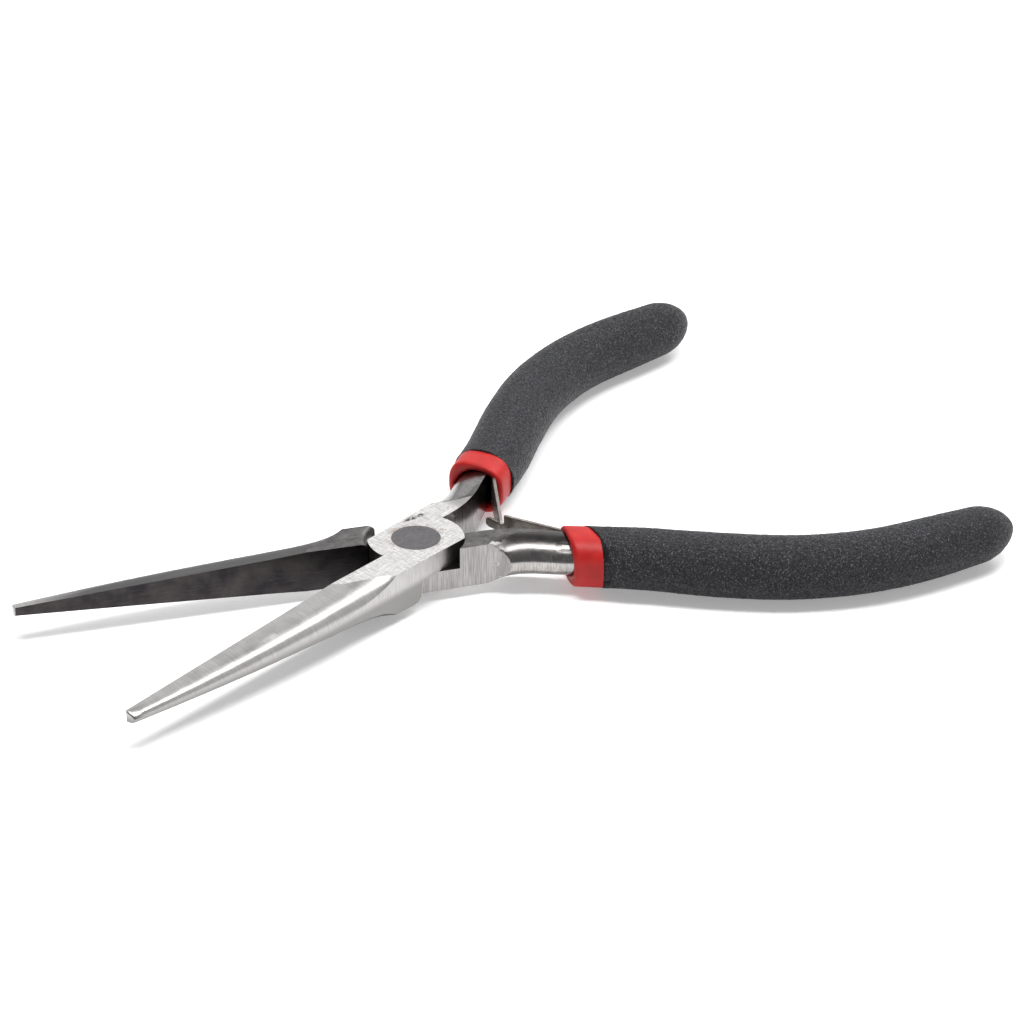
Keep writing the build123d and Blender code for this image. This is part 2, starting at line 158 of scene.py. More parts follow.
def section(fit, distance, fade, half_width, half_height, power, count, outer_power=None):
    """Ring of points round the handle. Power 2 is an ellipse and above 2 is boxier."""
    origin, out = station(fit, distance, fade)
    width = half_width / math.cos(math.radians(fit[1] * fade))
    ring = []
    for i in range(count):
        angle = 2 * math.pi * i / count
        c, s = math.cos(angle), math.sin(angle)
        here = outer_power if outer_power and c > 0 else power
        u = math.copysign(abs(c) ** (2 / here), c) * width
        v = math.copysign(abs(s) ** (2 / here), s) * half_height
        ring.append(origin + out * u + Vector((0, 0, v)))
    return ring


def sizes(table, fraction):
    """Half width and half height of a sleeve or grip at a fraction of its length."""
    knots = [row[0] for row in table]
    return [float(natural_spline(knots, [row[i] for row in table], fraction)) for i in (1, 2)]


# ---- mesh helpers ------------------------------------------------------------------------
def add_mesh(name, vertices, faces, side=None):
    mesh = bpy.data.meshes.new(name)
    mesh.from_pydata([tuple(v) for v in vertices], [], faces)
    work = bmesh.new()
    work.from_mesh(mesh)
    bmesh.ops.recalc_face_normals(work, faces=work.faces)
    work.to_mesh(mesh)
    work.free()
    if side:
        mesh.transform(to_row(side))
    mesh.shade_smooth()
    piece = bpy.data.objects.new(name, mesh)
    bpy.context.scene.collection.objects.link(piece)
    return piece


def tube(name, rings, side):
    """Closed skin over a list of rings, with each end drawn in to its middle."""
    count = len(rings[0])
    vertices = [v for ring in rings for v in ring]
    faces = []
    for r in range(len(rings) - 1):
        for i in range(count):
            j = (i + 1) % count
            a, b = r * count, (r + 1) * count
            faces.append((a + i, a + j, b + j, b + i))
    for r in (0, len(rings) - 1):
        middle = sum(rings[r], Vector()) / count
        vertices.append(middle)
        faces.extend((r * count + i, r * count + (i + 1) % count, len(vertices) - 1) for i in range(count))
    return add_mesh(name, vertices, faces, side)


def finish_piece(piece, body, slot, *nodes):
    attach(piece, body)
    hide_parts(*nodes)
    return piece


# ---- steel halves ------------------------------------------------------------------------
BEVEL = 0.12
SHARP = math.radians(28)
FLAT_AREA = 1.5
# the jaw's mesh is an ellipse, and its shading is boxier, which narrows the highlight
JAW_POWER, SHADING_POWER = 2, 2.8
GROUND_TOP, GROUND_SIDE, JAW_ROUND, JAW_FACE, TANG, SKIN = range(6)
# places along the half in the closed drawing, where one finish gives way to the next
TOP_BACK, TOP_FRONT = -10.0, 16.0
JAW_BACK = 9.0
JAW_SIDE_FRONT = 15.0
TANG_FRONT = -8.0
TANG_SIDE_BACK = -14.5


def jaw_normal(side, point):
    """Outward normal of the half-round jaw there, or None off its surface."""
    tip_depth, growth, bow, tip_height, height_growth = JAW_SHAPE[side]

    def jaw_sizes(reach):
        left = JAW_REACH - reach
        scoop = math.exp((SCOOP_AT - reach) / SCOOP_FADE)
        depth = tip_depth + growth * left - bow * left**2 + SCOOP_DEPTH * scoop
        return depth, tip_height + height_growth * left + SCOOP_HEIGHT * scoop

    def level(p, power):
        depth, height = jaw_sizes(p.x)
        return abs((p.y - FACE_GAP) / depth) ** power + abs(p.z / height) ** power - 1

    turned = Matrix.Rotation(-JAW_TURN[side], 3, "Z") @ point
    beside = turned.x < JAW_BACK or turned.x > JAW_REACH - 0.6 or turned.y < 0.25
    if beside or abs(level(turned, JAW_POWER)) > 0.02:
        return None
    small = 0.01
    slope = [level(turned + Vector(d), SHADING_POWER) - level(turned - Vector(d), SHADING_POWER)
             for d in ((small, 0, 0), (0, small, 0), (0, 0, small))]
    return (Matrix.Rotation(JAW_TURN[side], 3, "Z") @ Vector(slope)).normalized()


def steel_zone(centre, normal):
    """Which finish a face of a steel half has, in the closed drawing."""
    flat = abs(normal.z) > 0.97 and abs(centre.z) > HALF_THICKNESS - 0.1
    if flat and TOP_BACK < centre.x < TOP_FRONT:
        return GROUND_TOP if centre.z > 0 else SKIN
    if TANG_FRONT < centre.x < TOP_FRONT and centre.z < -2.0 and normal.z < -0.06:
        return SKIN
    if centre.x > JAW_BACK:
        if normal.y < -0.97:
            return JAW_FACE
        side = abs(normal.z) < 0.05 and centre.x < JAW_SIDE_FRONT
        return GROUND_SIDE if side else JAW_ROUND
    if centre.x < TANG_FRONT:
        if flat:
            return SKIN
        side = normal.y < -0.2 and abs(normal.z) < 0.06 and centre.x > TANG_SIDE_BACK
        return GROUND_SIDE if side else TANG
    outside = normal.y < -0.9 or normal.y > 0.9 and centre.y > 5.0
    edge = abs(normal.z) > 0.06 and abs(centre.z) > 3.0
    return GROUND_SIDE if outside or edge else JAW_FACE


def steel_half(side):
    """The forged half with its edges broken, from the CAD node."""
    name = f"{side}_half"
    work = bmesh.new()
    work.from_mesh(frame["nodes"][name].data)
    bmesh.ops.transform(work, matrix=to_row(side).inverted(), verts=work.verts)
    bmesh.ops.remove_doubles(work, verts=work.verts, dist=0.002)
    bmesh.ops.dissolve_limit(work, angle_limit=math.radians(0.6), verts=work.verts, edges=work.edges)
    sharp = [e for e in work.edges if len(e.link_faces) == 2 and e.calc_face_angle(0) > SHARP]
    bmesh.ops.bevel(work, geom=sharp, offset=BEVEL, offset_type="OFFSET", segments=2,
                    profile=0.5, affect="EDGES", clamp_overlap=True)
    work.normal_update()
    for face in work.faces:
        face.material_index = steel_zone(face.calc_center_median(), face.normal)
        face.smooth = True
    plane = {f: f.calc_area() > FLAT_AREA and len(f.verts) > 3 for f in work.faces}
    shared, on_jaw = {}, {}
    for vertex in work.verts:
        flats = [f for f in vertex.link_faces if plane[f]]
        on_jaw[vertex] = jaw_normal(side, vertex.co)
        shared[vertex] = vertex.normal.copy()
        if flats:
            shared[vertex] = sum((f.normal * f.calc_area() for f in flats), Vector()).normalized()
    normals = []
    for face in work.faces:
        curved = not plane[face] and all(on_jaw[v] is not None for v in face.verts)
        for vertex in face.verts:
            found = on_jaw[vertex] if curved else shared[vertex]
            normals.append(face.normal.copy() if plane[face] else found)
    place = to_row(side)
    turn = place.to_3x3().normalized()
    mesh = bpy.data.meshes.new(f"{name}_steel")
    work.to_mesh(mesh)
    work.free()
    mesh.transform(place)
    mesh.normals_split_custom_set([tuple(turn @ n) for n in normals])
    piece = bpy.data.objects.new(f"{name}_steel", mesh)
    bpy.context.scene.collection.objects.link(piece)
    return finish_piece(piece, side, "forged_steel", name)


# ---- leaf springs ------------------------------------------------------------------------
LEAF_BEND = 0.6
LEAF_BEVEL = 0.07
LEAF_CORNER, LEAF_SHARP = math.radians(40), math.radians(50)


def leaf_line():
    """Tail, root and crossing on the leaf's centre line."""
    back = Vector((-math.cos(LEAF_SEAT_HEADING), -math.sin(LEAF_SEAT_HEADING), 0))
    out = Vector((math.sin(LEAF_SEAT_HEADING), -math.cos(LEAF_SEAT_HEADING), 0))
    root = LEAF_SEAT + back * LEAF_ROOT - out * (LEAF_STAND_OFF + LEAF_THICKNESS / 2)
    tail = root + back * (LEAF_TAIL - LEAF_ROOT)
    cross = Vector((-LEAF_CROSSING * math.cos(OPEN), LEAF_CROSSING * math.sin(OPEN), 0))
    return tail, root, cross


def leaf_stations(tongue, tail_length, blade):
    """Places along the leaf, from its tail past its root to the end of its tongue or window."""
    places = [-tail_length, -LEAF_BEND, LEAF_BEND]
    places += list(np.arange(1.2, blade - 2.6, 0.6))
    if tongue:
        shoulder = blade - TONGUE_SHOULDER_BACK
        places += [shoulder - 0.9, shoulder - 0.3, shoulder, blade - 0.5, blade, blade + 0.5]
        places += [blade + 1.0, blade + 1.6]
        return places + [blade + TONGUE_LENGTH - back for back in (0.8, 0.5, 0.25, 0.1, 0.0)]
    end = blade + WINDOW_HALF_LENGTH + LEAF_END_PAST_WINDOW
    near, far = blade - WINDOW_HALF_LENGTH, blade + WINDOW_HALF_LENGTH
    return places + [near - 0.3, near, blade, far, end - 0.3, end]


def leaf_centre(tongue, place, blade):
    """Point and direction on the bent centre line."""
    tail, root, cross = leaf_line()
    ahead = (cross - root).normalized()
    behind = (root - tail).normalized()
    if place < LEAF_BEND:
        share = min(max((place + LEAF_BEND) / (2 * LEAF_BEND), 0), 1)
        point = root + (behind if place < 0 else ahead) * place
        return point, behind.lerp(ahead, share).normalized()
    if place <= blade or not tongue:
        return root + ahead * place, ahead
    bent = Matrix.Rotation(TONGUE_BEND, 3, "Z") @ ahead
    share = min((place - blade) / 0.5 + 0.5, 1)
    return cross + bent * (place - blade), ahead.lerp(bent, share).normalized()


def leaf_drop(tongue, row, left, inner, raised):
    """Height of a row, drawn in at the tongue's round tip or the window end's corners."""
    if tongue and left < inner:
        return raised + (row - raised) * math.sqrt(1 - (1 - left / inner) ** 2 * 0.8)
    if left < 1e-6:
        return math.copysign(min(abs(row), LEAF_HALF_WIDTH - 0.3), row)
    return row


def leaf_cells(tongue, places, rows, blade, raised):
    """Grid cells of the leaf that are metal: not beside the tongue, nor in the window."""
    cells = set()
    for k in range(len(places) - 1):
        for m in range(len(rows) - 1):
            place = (places[k] + places[k + 1]) / 2
            row = (rows[m] + rows[m + 1]) / 2
            if tongue:
                metal = place < blade - TONGUE_SHOULDER_BACK or abs(row - raised) < TONGUE_HALF_WIDTH
            else:
                metal = abs(place - blade) > WINDOW_HALF_LENGTH or abs(row) > WINDOW_HALF_HEIGHT
            if metal:
                cells.add((k, m))
    return cells


def leaf_mesh(side):
    """Vertices and faces of the strip, with a wall wherever a cell has no neighbour."""
    tongue = side == "lower"
    tail, root, cross = leaf_line()
    blade = (cross - root).length
    places = leaf_stations(tongue, (root - tail).length, blade)
    inner = TONGUE_HALF_WIDTH if tongue else WINDOW_HALF_HEIGHT
    raised = -TONGUE_RAISE if tongue else 0.0
    rows = [-LEAF_HALF_WIDTH, -LEAF_HALF_WIDTH + 0.25]
    rows += [raised + inner * share for share in (-1, -0.5, 0, 0.5, 1)]
    rows += [LEAF_HALF_WIDTH - 0.25, LEAF_HALF_WIDTH]

    vertices, faces, index = [], [], {}
    for k, place in enumerate(places):
        point, way = leaf_centre(tongue, place, blade)
        across = Vector((-way.y, way.x, 0)) * LEAF_THICKNESS / 2
        for m, row in enumerate(rows):
            drop = leaf_drop(tongue, row, places[-1] - place, inner, raised)
            for f in (0, 1):
                index[k, m, f] = len(vertices)
                vertices.append(point + across * (1 - 2 * f) + Vector((0, 0, drop)))
    cells = leaf_cells(tongue, places, rows, blade, raised)
    for k, m in sorted(cells):
        for f in (0, 1):
            faces.append([index[k, m, f], index[k + 1, m, f], index[k + 1, m + 1, f], index[k, m + 1, f]])
        walls = [((k, m), (k + 1, m), (k, m - 1)), ((k, m + 1), (k + 1, m + 1), (k, m + 1)),
                 ((k, m), (k, m + 1), (k - 1, m)), ((k + 1, m), (k + 1, m + 1), (k + 1, m))]
        for start, end, neighbour in walls:
            if neighbour not in cells:
                faces.append([index[(*start, 0)], index[(*end, 0)], index[(*end, 1)], index[(*start, 1)]])
    used = sorted({v for face in faces for v in face})
    renumber = {v: i for i, v in enumerate(used)}
    return [vertices[v] for v in used], [[renumber[v] for v in face] for face in faces]


def leaf_spring(side):
    """Flat strip on edge, with a window at its end or a narrow tongue bent out of line."""
    piece = add_mesh(f"{side}_leaf", *leaf_mesh(side))
    work = bmesh.new()
    work.from_mesh(piece.data)
    corners = [e for e in work.edges if e.calc_face_angle(0) > LEAF_CORNER]
    bmesh.ops.bevel(work, geom=corners, offset=LEAF_BEVEL, offset_type="OFFSET", segments=2,
                    profile=0.5, affect="EDGES", clamp_overlap=True)
    work.to_mesh(piece.data)
    work.free()
    place = to_row(side)
    piece.data.transform(place)
    piece.data.shade_smooth()
    piece.data.set_sharp_from_angle(angle=LEAF_SHARP)
    tail, root, cross = leaf_line()
    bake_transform(piece)
    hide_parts(f"{side}_leaf_spring")
    return piece


# ---- vinyl sleeves and foam grips --------------------------------------------------------
SLEEVE_POWER = 2.6
MOUTH_POWER = 1.6
SLEEVE_RING = 96
FOAM_RING = 168
FOAM_STEP = 0.21
FOAM_EDGE = 0.3


def sleeve_outside(side, fraction, grow, count):
    last = HANDLE_LENGTH - SLEEVE_END_SHORT
    half_width, half_height = sizes(SLEEVE_SECTIONS, fraction)
    fade = (1 - fraction) ** 4
    return section(SLEEVE_FIT[side], fraction * last, fade, half_width + grow, half_height + grow,
                   SLEEVE_POWER, count)


def vinyl_sleeve(side):
    """Dipped sleeve with a fat rounded lip and room inside its mouth for the leaf."""
    fit = SLEEVE_FIT[side]
    rings = []
    half_width, half_height = SLEEVE_SECTIONS[0][1] - SLEEVE_WALL, SLEEVE_SECTIONS[0][2] - SLEEVE_WALL
    for share in np.linspace(1, 0.06, 10):
        fade = (1 - share) ** 2
        rings.append(section(fit, MOUTH_DEPTH * share, fade, half_width - MOUTH_NARROWS * share,
                             half_height, SLEEVE_POWER, SLEEVE_RING, MOUTH_POWER))
    middle = SLEEVE_WALL / 2
    for angle in np.radians(np.linspace(-80, 80, 11)):
        back = middle * (1 - math.cos(angle))
        inside = section(fit, back, 1.0, half_width, half_height, SLEEVE_POWER, SLEEVE_RING, MOUTH_POWER)
        outside = section(fit, back, 1.0, *SLEEVE_SECTIONS[0][1:], SLEEVE_POWER, SLEEVE_RING)
        share = (1 + math.sin(angle)) / 2
        rings.append([a.lerp(b, share) for a, b in zip(inside, outside)])
    for fraction in np.concatenate([np.linspace(0.011, 0.1, 12), np.linspace(0.13, 0.99, 28)]):
        rings.append(sleeve_outside(side, fraction, 0.0, SLEEVE_RING))
    rings.append(sleeve_outside(side, 1.0, -0.8, SLEEVE_RING))
    piece = tube(f"{side}_vinyl_sleeve", rings, side)
    return finish_piece(piece, side, "red_vinyl", f"{side}_sleeve")


def foam_size(fraction):
    """Half width and half height of the foam, drawn in to a round end."""
    last, end_width, end_height = GRIP_SECTIONS[-1]
    if fraction <= last:
        return sizes(GRIP_SECTIONS, fraction)
    share = (fraction - last) / (1 - last)
    scale = (1 - share**2) ** GRIP_CAP_POWER
    return end_width * scale, end_height * scale


def foam_dip(point):
    """How far the foam's skin lies below its smooth outline there, in millimetres."""
    grain = noise.noise(point * 2.1)
    crease = abs(noise.noise(Vector((point.x * 0.9, point.y * 0.9, point.z * 1.3)) + Vector((7, 3, 1))))
    swell = noise.noise(point * 0.11 + Vector((2, 9, 4)))
    return 0.06 + 0.045 * grain - 0.05 * crease + 0.07 * (1 + swell)


def foam_grip(side):
    """Foam tube over the sleeve with a cut front edge, closed and rounded at its back."""
    length = HANDLE_LENGTH - SLEEVE_BAND
    sleeve_length = HANDLE_LENGTH - SLEEVE_END_SHORT
    rings = []
    for fraction in np.linspace(0.99, SLEEVE_BAND / sleeve_length, 24):
        rings.append(sleeve_outside(side, fraction, 0.01, FOAM_RING))
    width, height = foam_size(0.0)
    for angle in np.radians(np.linspace(0, 90, 5)):
        shrink = FOAM_EDGE * (1 - math.sin(angle))
        rings.append(section(GRIP_FIT[side], SLEEVE_BAND + FOAM_EDGE * (1 - math.cos(angle)), 1.0,
                             width - shrink, height - shrink, 2.0, FOAM_RING))
    smooth = len(rings) - 3
    body = np.arange(FOAM_EDGE + FOAM_STEP, length * GRIP_SECTIONS[-1][0], FOAM_STEP) / length
    cap = GRIP_SECTIONS[-1][0] + (1 - GRIP_SECTIONS[-1][0]) * np.sin(np.linspace(0, math.pi / 2, 44)[:-1])
    for fraction in np.concatenate([body, cap]):
        width, height = foam_size(fraction)
        fade = (1 - fraction) ** 4
        rings.append(section(GRIP_FIT[side], SLEEVE_BAND + fraction * length, fade, width, height, 2.0,
                             FOAM_RING))
    for r in range(smooth, len(rings)):
        middle = sum(rings[r], Vector()) / FOAM_RING
        taper = min((r - smooth) / 6, 1)
        reach = (rings[r][0] - middle).length
        for i, point in enumerate(rings[r]):
            inward = (middle - point).normalized()
            rings[r][i] = point + inward * min(foam_dip(point) * taper, reach * 0.3)
    piece = tube(f"{side}_foam", rings, side)
    finish_piece(piece, side, "black_foam", f"{side}_foam_grip")
    return piece


# ---- materials ---------------------------------------------------------------------------
class Finish:
    """Node material whose textures lie in the closed drawing of a half, in millimetres."""

    def __init__(self, name, side):
        self.material = bpy.data.materials.new(name)
        self.material.use_nodes = True
        self.tree = self.material.node_tree
        self.shader = self.tree.nodes["Principled BSDF"]
        coordinates = self.tree.nodes.new("ShaderNodeTexCoord")
        placing = self.tree.nodes.new("ShaderNodeMapping")
        place, turn, scale = to_row(side).inverted().decompose()
        placing.inputs["Location"].default_value = place
        placing.inputs["Rotation"].default_value = turn.to_euler()
        placing.inputs["Scale"].default_value = scale
        self.tree.links.new(coordinates.outputs["Object"], placing.inputs["Vector"])
        self.drawing = placing.outputs["Vector"]

    def step(self, value, low, high):
        """0 below low and 1 above high, smoothly between."""
        node = self.tree.nodes.new("ShaderNodeMapRange")
        node.interpolation_type = "SMOOTHSTEP"
        node.inputs["From Min"].default_value, node.inputs["From Max"].default_value = low, high
        self.link(value, node.inputs["Value"])
        return node.outputs["Result"]

    def along(self, axis, low, high):
        """0 below low and 1 above high, by place along an axis of the closed drawing."""
        parts = self.tree.nodes.new("ShaderNodeSeparateXYZ")
        self.link(self.drawing, parts.inputs[0])
        return self.step(parts.outputs[axis], low, high)

    def away(self, centre, turn, half_sizes, low, high):
        """0 inside and 1 outside an oval column: low and high count in its half sizes."""
        oval = self.tree.nodes.new("ShaderNodeMapping")
        oval.vector_type = "TEXTURE"
        oval.inputs["Location"].default_value = (*centre, 0)
        oval.inputs["Rotation"].default_value = (0, 0, math.radians(turn))
        oval.inputs["Scale"].default_value = (*half_sizes, 100)
        self.link(self.drawing, oval.inputs["Vector"])
        length = self.tree.nodes.new("ShaderNodeVectorMath")
        length.operation = "LENGTH"
        self.link(oval.outputs["Vector"], length.inputs[0])
        return self.step(length.outputs["Value"], low, high)

    def link(self, output, socket):
        self.tree.links.new(output, socket)

    def position(self, stretch=(1, 1, 1)):
        mapping = self.tree.nodes.new("ShaderNodeMapping")
        mapping.inputs["Scale"].default_value = stretch
        self.link(self.drawing, mapping.inputs["Vector"])
        return mapping.outputs["Vector"]

    def noise(self, scale, stretch=(1, 1, 1), detail=3.0, rough=0.55):
        node = self.tree.nodes.new("ShaderNodeTexNoise")
        node.inputs["Scale"].default_value = scale
        node.inputs["Detail"].default_value = detail
        node.inputs["Roughness"].default_value = rough
        self.link(self.position(stretch), node.inputs["Vector"])
        return node.outputs["Fac"]

    def ramp(self, value, stops):
        """Colour or grey by value: stops are (place, colour)."""
        node = self.tree.nodes.new("ShaderNodeValToRGB")
        elements = node.color_ramp.elements
        while len(elements) < len(stops):
            elements.new(0.5)
        for element, (place, colour) in zip(elements, stops):
            element.position = place
            element.color = (*colour, 1) if isinstance(colour, tuple) else (colour,) * 3 + (1,)
        self.link(value, node.inputs["Fac"])
        return node.outputs["Color"]

    def mix(self, share, first, second, mode="MIX"):
        """Second over first by share. Each may be a constant or a socket."""
        node = self.tree.nodes.new("ShaderNodeMix")
        node.data_type = "RGBA"
        node.blend_type = mode
        for value, socket in zip((share, first, second), (node.inputs[0], node.inputs[6], node.inputs[7])):
            if isinstance(value, bpy.types.NodeSocket):
                self.link(value, socket)
            elif isinstance(value, tuple):
                socket.default_value = (*value, 1)
            else:
                socket.default_value = value
        return node.outputs[2]

    def bump(self, *layers):
        """Adds up bumps of (height, strength, depth in mm) into the shader's normal."""
        last = None
        for height, strength, depth in layers:
            node = self.tree.nodes.new("ShaderNodeBump")
            node.inputs["Strength"].default_value = strength
            node.inputs["Distance"].default_value = depth * 0.001
            self.link(height, node.inputs["Height"])
            if last is not None:
                self.link(last, node.inputs["Normal"])
            last = node.outputs["Normal"]
        self.link(last, self.shader.inputs["Normal"])

    def set(self, **values):
        for name, value in values.items():
            socket = self.shader.inputs[name.replace("_", " ")]
            if isinstance(value, bpy.types.NodeSocket):
                self.link(value, socket)
            elif isinstance(value, tuple):
                socket.default_value = (*value, 1)
            else:
                socket.default_value = value
        return self.material


def ground_top(side):
    """Flat top and bottom of the joint: bright, cross-scratched, brown specks."""
    f = Finish(f"steel_ground_top_{side}", side)
    lines = f.noise(1.0, (0.7, 14, 1), 2)
    crossed = f.noise(1.0, (9, 0.6, 1), 2)
    specks = f.ramp(f.noise(1.1, detail=5, rough=0.7), [(0.62, 0.0), (0.7, 1.0)])
    base = f.mix(f.ramp(lines, [(0.35, 0.0), (0.7, 1.0)]), (0.52, 0.51, 0.50), (0.92, 0.91, 0.90))
    base = f.mix(f.ramp(crossed, [(0.38, 1.0), (0.44, 0.0)]), base, (0.45, 0.44, 0.43))
    base = f.mix(specks, base, (0.36, 0.27, 0.23))
    stain = f.ramp(f.noise(0.45, detail=4, rough=0.7), [(0.47, 0.0), (0.62, 0.75)])
    stain = f.mix(f.away((0, 0), 0, (1, 1), 3.9, 5.1), stain, (0.0, 0.0, 0.0))
    base = f.mix(stain, base, (0.33, 0.25, 0.21))
    if side == "upper":
        base = f.mix(f.along("X", -13.0, -10.5), (0.36, 0.352, 0.345), base)
        # dark streak painted on the upper half's top face where it has a dent: painted shade of the dent
        dent_shade_streak = f.ramp(f.noise(1.4, detail=4, rough=0.7), [(0.4, 0.0), (0.52, 1.0)])
        dent_shade_streak = f.mix(f.away((-4.8, -4.3), -11, (2.6, 0.55), 0.6, 1.1), dent_shade_streak, (0.0, 0.0, 0.0))
        base = f.mix(dent_shade_streak, base, (0.10, 0.095, 0.093))
    f.bump((lines, 0.5, 0.02), (crossed, 0.35, 0.02))
    return f.set(Base_Color=base, Metallic=1.0, Roughness=f.ramp(crossed, [(0.3, 0.5), (0.7, 0.36)]))


def ground_side(side):
    """Belt-ground sides of the joint: fine vertical lines."""
    f = Finish(f"steel_ground_side_{side}", side)
    lines = f.noise(1.0, (7, 7, 0.35), 3)
    cloud = f.noise(0.35, detail=3)
    # the upper half's sides get a darker copy of the same ground steel: painted shade
    tones_with_painted_far_shade = {"lower": ((0.27, 0.262, 0.255), (0.42, 0.41, 0.40)),
             "upper": ((0.17, 0.166, 0.162), (0.30, 0.293, 0.286))}
    dark, light = tones_with_painted_far_shade[side]
    base = f.mix(f.ramp(lines, [(0.35, 0.0), (0.68, 1.0)]), dark, light)
    base = f.mix(f.ramp(cloud, [(0.4, 0.0), (0.75, 0.45)]), base, dark)
    f.bump((lines, 0.6, 0.02))
    return f.set(Base_Color=base, Metallic=1.0, Roughness=f.ramp(lines, [(0.3, 0.5), (0.7, 0.38)]))


def jaw_round(side):
    """Half-round outside of the jaws: ground across, darker forged skin on the lapless side."""
    f = Finish(f"steel_jaw_round_{side}", side)
    lines = f.noise(1.0, (5, 0.4, 0.4), 3)
    long = f.noise(1.0, (0.25, 5, 5), 3)
    cloud = f.noise(0.3, detail=4)
    base = f.mix(f.ramp(lines, [(0.35, 0.0), (0.7, 1.0)]), (0.40, 0.392, 0.384), (0.52, 0.512, 0.503))
    base = f.mix(f.ramp(cloud, [(0.45, 0.0), (0.8, 0.5)]), base, (0.38, 0.36, 0.35))
    if side == "lower":
        base = f.mix(f.along("Z", -1.4, -0.5), (0.092, 0.09, 0.091), base)
    else:
        base = f.mix(f.along("Z", -0.6, 0.9), (0.235, 0.229, 0.223), base)
    f.bump((lines, 0.12, 0.01), (long, 0.16, 0.012))
    return f.set(Base_Color=base, Metallic=1.0, Roughness=f.ramp(cloud, [(0.3, 0.38), (0.7, 0.3)]))


def forged_skin(side):
    """Unground flat of the joint on the lapless side, and the top strip of the tang."""
    f = Finish(f"steel_skin_{side}", side)
    cloud = f.noise(0.6, detail=5, rough=0.65)
    lines = f.noise(1.0, (0.6, 7, 1), 3)
    base = f.mix(f.ramp(cloud, [(0.35, 0.0), (0.7, 1.0)]), (0.085, 0.081, 0.081), (0.175, 0.17, 0.166))
    base = f.mix(f.ramp(lines, [(0.55, 0.0), (0.8, 0.5)]), base, (0.40, 0.39, 0.38))
    f.bump((cloud, 0.5, 0.1), (lines, 0.3, 0.02))
    return f.set(Base_Color=base, Metallic=1.0, Roughness=f.ramp(cloud, [(0.3, 0.5), (0.7, 0.38)]))


def jaw_face(side):
    """Flat inside of the jaws: dark oxide."""
    f = Finish(f"steel_jaw_face_{side}", side)
    cloud = f.noise(0.3, detail=4)
    lines = f.noise(1.0, (0.3, 1, 6), 3)
    base = f.mix(f.ramp(cloud, [(0.35, 0.0), (0.7, 1.0)]), (0.028, 0.026, 0.029), (0.062, 0.056, 0.055))
    base = f.mix(f.ramp(lines, [(0.55, 0.0), (0.75, 0.5)]), base, (0.09, 0.078, 0.07))
    f.bump((lines, 0.25, 0.01))
    return f.set(Base_Color=base, Metallic=1.0, Roughness=0.38)


def tang_steel(side):
    """Forged half-round tang of the handles: polished, with brownish clouds."""
    f = Finish(f"steel_tang_{side}", side)
    cloud = f.noise(0.5, detail=4)
    lines = f.noise(1.0, (6, 1.5, 0.5), 3)
    # the upper half's tang gets a darker copy of the same steel: painted shade
    tones_with_painted_far_shade = {"lower": ((0.30, 0.285, 0.275), (0.50, 0.485, 0.47)),
             "upper": ((0.13, 0.125, 0.125), (0.27, 0.26, 0.255))}
    dark, light = tones_with_painted_far_shade[side]
    base = f.mix(f.ramp(lines, [(0.35, 0.0), (0.65, 1.0)]), dark, light)
    base = f.mix(f.ramp(cloud, [(0.45, 0.0), (0.7, 0.5)]), base, dark)
    if side == "lower":
        base = f.mix(f.along("Z", -2.4, -1.3), (0.105, 0.1, 0.097), base)
    f.bump((lines, 0.25, 0.01), (cloud, 0.3, 0.03))
    return f.set(Base_Color=base, Metallic=1.0, Roughness=f.ramp(cloud, [(0.3, 0.26), (0.7, 0.2)]))


def rivet_steel(side):
    """Rivet heads: dark grey, dull, finely scratched."""
    f = Finish(f"steel_rivet_{side}", side)
    lines = f.noise(1.0, (1.2, 8, 1), 4)
    cloud = f.noise(0.8, detail=4)
    base = f.mix(f.ramp(lines, [(0.4, 0.0), (0.75, 1.0)]), (0.125, 0.121, 0.125), (0.215, 0.207, 0.211))
    base = f.mix(f.ramp(cloud, [(0.45, 0.0), (0.8, 0.6)]), base, (0.095, 0.091, 0.095))
    f.bump((lines, 0.4, 0.015), (cloud, 0.3, 0.05))
    return f.set(Base_Color=base, Metallic=1.0, Roughness=0.42)


def spring_steel(side):
    """Leaf springs: satin strip with a brown tint."""
    f = Finish(f"steel_spring_{side}", side)
    cloud = f.noise(0.6, detail=4)
    lines = f.noise(1.0, (3, 3, 9), 3)
    base = f.mix(f.ramp(cloud, [(0.35, 0.0), (0.7, 1.0)]), (0.24, 0.21, 0.19), (0.42, 0.39, 0.37))
    base = f.mix(f.ramp(lines, [(0.5, 0.0), (0.8, 0.5)]), base, (0.55, 0.53, 0.5))
    f.bump((lines, 0.3, 0.012))
    return f.set(Base_Color=base, Metallic=1.0, Roughness=f.ramp(cloud, [(0.3, 0.42), (0.7, 0.3)]))


def red_vinyl(side):
    """Dipped vinyl: glossy red with faint unevenness."""
    f = Finish(f"red_vinyl_{side}", side)
    cloud = f.noise(0.45, detail=3)
    fine = f.noise(5.0, detail=2)
    base = f.mix(f.ramp(cloud, [(0.35, 0.0), (0.7, 1.0)]), (0.38, 0.013, 0.012), (0.47, 0.019, 0.016))
    f.bump((cloud, 0.3, 0.12), (fine, 0.08, 0.02))
    return f.set(Base_Color=base, Roughness=f.ramp(fine, [(0.3, 0.42), (0.7, 0.5)]),
                 Specular_IOR_Level=0.24)


